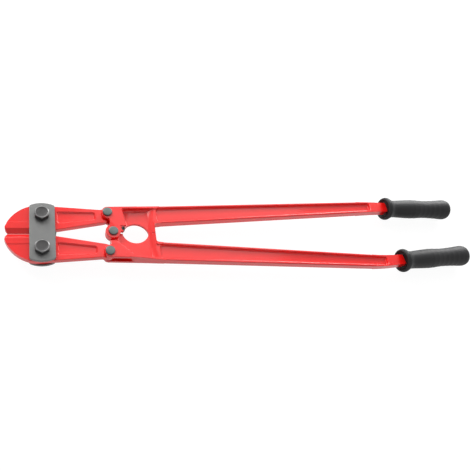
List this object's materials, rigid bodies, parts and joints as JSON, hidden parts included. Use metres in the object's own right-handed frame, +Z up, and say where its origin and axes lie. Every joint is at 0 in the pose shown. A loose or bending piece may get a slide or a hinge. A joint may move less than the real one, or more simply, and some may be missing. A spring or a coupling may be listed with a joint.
{
  "type": "bolt cutters",
  "caption": "Long-handled bolt cutters with forged jaws between side plates, compound linkage to I-section handles with a round window between them, and moulded grips.",
  "frame": {"origin": "on the bench, under the middle of the tool's length and width", "axes": "+X along the tool from the jaws to the grips, +Y from the lower handle to the upper handle, +Z up off the bench"},
  "size_m": [0.7488, 0.139, 0.0389],
  "materials": {
    "red_paint": "gloss enamel on forged steel",
    "plate_steel": "grey phosphated plate, satin",
    "bolt_steel": "blackened steel, satin",
    "pin_steel": "greenish grey zinc, satin",
    "grip_rubber": "smooth moulded rubber, semi-matt"
  },
  "bodies": {
    "plates": {"front_plate": "plate_steel", "back_plate": "plate_steel", "plate_spacer": "bolt_steel", "upper_plate_bolt": "bolt_steel", "lower_plate_bolt": "bolt_steel", "upper_plate_nut": "bolt_steel", "lower_plate_nut": "bolt_steel"},
    "upper_jaw": {"upper_jaw": "red_paint"},
    "lower_jaw": {"lower_jaw": "red_paint"},
    "upper_handle": {"upper_handle": "red_paint", "upper_grip": "grip_rubber", "stop_screw": "bolt_steel", "upper_link_pin": "pin_steel", "upper_link_collar": "pin_steel", "centre_pin": "pin_steel", "centre_collar": "pin_steel"},
    "lower_handle": {"lower_handle": "red_paint", "lower_grip": "grip_rubber", "lower_link_pin": "pin_steel", "lower_link_collar": "pin_steel"}
  },
  "joints": [
    {"name": "upper_jaw_pivot", "type": "hinge", "parent": "plates", "child": "upper_jaw", "pos_m": [-0.3309, 0.02254, 0.01944], "axis": [0, 0, -1], "range_deg": [0, 8]},
    {"name": "lower_jaw_pivot", "type": "hinge", "parent": "plates", "child": "lower_jaw", "pos_m": [-0.3309, -0.02546, 0.01944], "axis": [0, 0, 1], "range_deg": [0, 8]},
    {"name": "upper_handle_pivot", "type": "hinge", "parent": "upper_jaw", "child": "upper_handle", "pos_m": [-0.2479, 0.02754, 0.01944], "axis": [0, 0, 1], "range_deg": [0, 50]},
    {"name": "lower_handle_pivot", "type": "hinge", "parent": "lower_jaw", "child": "lower_handle", "pos_m": [-0.2479, -0.03046, 0.01944], "axis": [0, 0, -1], "range_deg": [0, 50]}
  ],
  "couplings": [
    {"joint": "lower_handle_pivot", "follows": "upper_handle_pivot", "ratio": 1},
    {"joint": "upper_jaw_pivot", "follows": "upper_handle_pivot", "ratio": 0.15854},
    {"joint": "lower_jaw_pivot", "follows": "upper_handle_pivot", "ratio": 0.15854}
  ]
}
